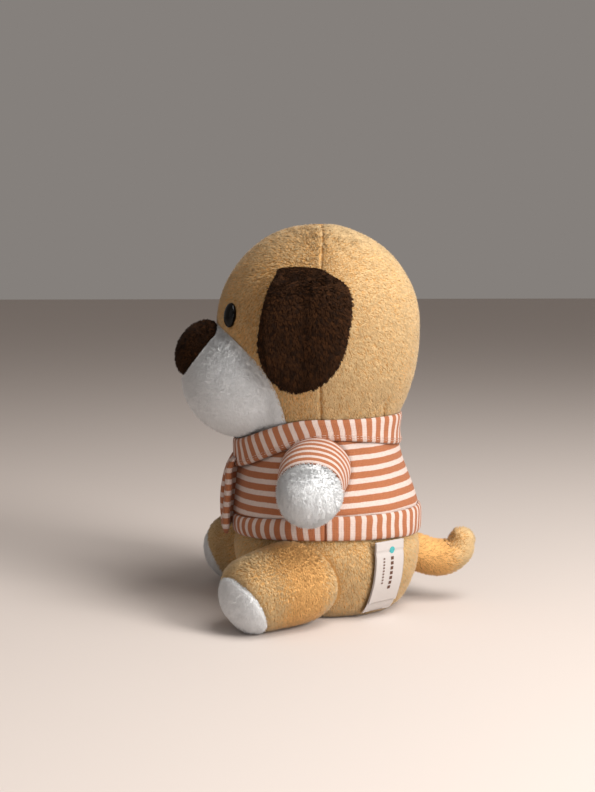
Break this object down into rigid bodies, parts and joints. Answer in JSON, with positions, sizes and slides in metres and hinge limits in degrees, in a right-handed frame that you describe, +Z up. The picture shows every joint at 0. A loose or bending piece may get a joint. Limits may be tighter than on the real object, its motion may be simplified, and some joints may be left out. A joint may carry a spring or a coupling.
{
  "type": "plush dog",
  "caption": "Seated soft-toy dog with hanging ears, padded limbs and tail, wearing a striped knitted cardigan with a collar band and hanging ends.",
  "frame": {"origin": "centre of the seated toy's bounding box, on the ground plane it sits on", "axes": "+Z up, the dog faces -Y, its left side is +X"},
  "size_m": [0.169, 0.1697, 0.2135],
  "materials": {
    "tan_plush": "short-pile plush",
    "brown_plush": "short-pile plush",
    "white_plush": "short-pile plush",
    "striped_knit": "fine jersey knit, terracotta and off-white stripes",
    "fibre_filling": "loose polyester fibre",
    "eye_plastic": "polished",
    "washer_plastic": "matte",
    "label_satin": "woven satin tape"
  },
  "bodies": {
    "torso": {"torso_skin_front": "tan_plush", "torso_skin_back": "tan_plush", "base_panel": "tan_plush", "torso_stuffing": "fibre_filling", "sweater_body": "striped_knit", "hem_band": "striped_knit", "collar_band": "striped_knit"},
    "head": {"head_skin_front": "tan_plush", "head_skin_back": "tan_plush", "head_stuffing": "fibre_filling", "muzzle_skin": "white_plush", "nose_skin": "brown_plush", "nose_stuffing": "fibre_filling", "eye_left": "eye_plastic", "eye_right": "eye_plastic", "eye_washer_left": "washer_plastic", "eye_washer_right": "washer_plastic"},
    "ear_left": {"ear_left_outer": "brown_plush", "ear_left_lining": "brown_plush", "ear_left_stuffing": "fibre_filling"},
    "arm_left": {"sleeve_left": "striped_knit", "paw_left": "white_plush", "arm_left_stuffing": "fibre_filling"},
    "leg_left": {"leg_left_skin": "tan_plush", "sole_left": "white_plush", "leg_left_stuffing": "fibre_filling"},
    "collar_end_left": {"collar_end_left": "striped_knit"},
    "ear_right": {"ear_right_outer": "brown_plush", "ear_right_lining": "brown_plush", "ear_right_stuffing": "fibre_filling"},
    "arm_right": {"sleeve_right": "striped_knit", "paw_right": "white_plush", "arm_right_stuffing": "fibre_filling"},
    "leg_right": {"leg_right_skin": "tan_plush", "sole_right": "white_plush", "leg_right_stuffing": "fibre_filling"},
    "collar_end_right": {"collar_end_right": "striped_knit"},
    "tail": {"tail_skin": "tan_plush", "tail_stuffing": "fibre_filling"},
    "label": {"label_back_page": "label_satin", "label_front_page": "label_satin"}
  },
  "joints": [
    {"name": "neck_turn", "type": "hinge", "parent": "torso", "child": "head", "pos_m": [0, -0.0045, 0.105], "axis": [0, 0, 1], "range_deg": [-10, 10], "stiffness_Nm_per_rad": 0.06},
    {"name": "ear_left_lift", "type": "hinge", "parent": "head", "child": "ear_left", "pos_m": [0.0465, -0.018, 0.1903], "axis": [0, -1, 0], "range_deg": [0, 70]},
    {"name": "arm_left_lift", "type": "hinge", "parent": "torso", "child": "arm_left", "pos_m": [0.0473, -0.008, 0.1025], "axis": [0, -1, 0], "range_deg": [0, 50], "stiffness_Nm_per_rad": 0.02},
    {"name": "ear_right_lift", "type": "hinge", "parent": "head", "child": "ear_right", "pos_m": [-0.0465, -0.018, 0.1903], "axis": [0, 1, 0], "range_deg": [0, 70]},
    {"name": "arm_right_lift", "type": "hinge", "parent": "torso", "child": "arm_right", "pos_m": [-0.0473, -0.008, 0.1025], "axis": [0, 1, 0], "range_deg": [0, 50], "stiffness_Nm_per_rad": 0.02},
    {"name": "leg_left_lift", "type": "hinge", "parent": "torso", "child": "leg_left", "pos_m": [0.0484, -0.0222, 0.0447], "axis": [-0.418, -0.9084, 0], "range_deg": [0, 30], "stiffness_Nm_per_rad": 0.05},
    {"name": "leg_right_lift", "type": "hinge", "parent": "torso", "child": "leg_right", "pos_m": [-0.0462, -0.0264, 0.0447], "axis": [-0.497, 0.8678, 0], "range_deg": [0, 30], "stiffness_Nm_per_rad": 0.05},
    {"name": "tail_wag", "type": "hinge", "parent": "torso", "child": "tail", "pos_m": [0, 0.0515, 0.0287], "axis": [0, 0, 1], "range_deg": [-20, 20], "stiffness_Nm_per_rad": 0.01},
    {"name": "collar_end_left_swing", "type": "hinge", "parent": "torso", "child": "collar_end_left", "pos_m": [0.007, -0.052, 0.079], "axis": [-1, 0, 0], "range_deg": [0, 60]},
    {"name": "collar_end_right_swing", "type": "hinge", "parent": "torso", "child": "collar_end_right", "pos_m": [-0.007, -0.052, 0.079], "axis": [-1, 0, 0], "range_deg": [0, 60]},
    {"name": "label_flap", "type": "hinge", "parent": "torso", "child": "label", "pos_m": [0.0426, 0.0304, 0.0441], "axis": [0.5807, -0.8141, 0], "range_deg": [0, 50]}
  ]
}
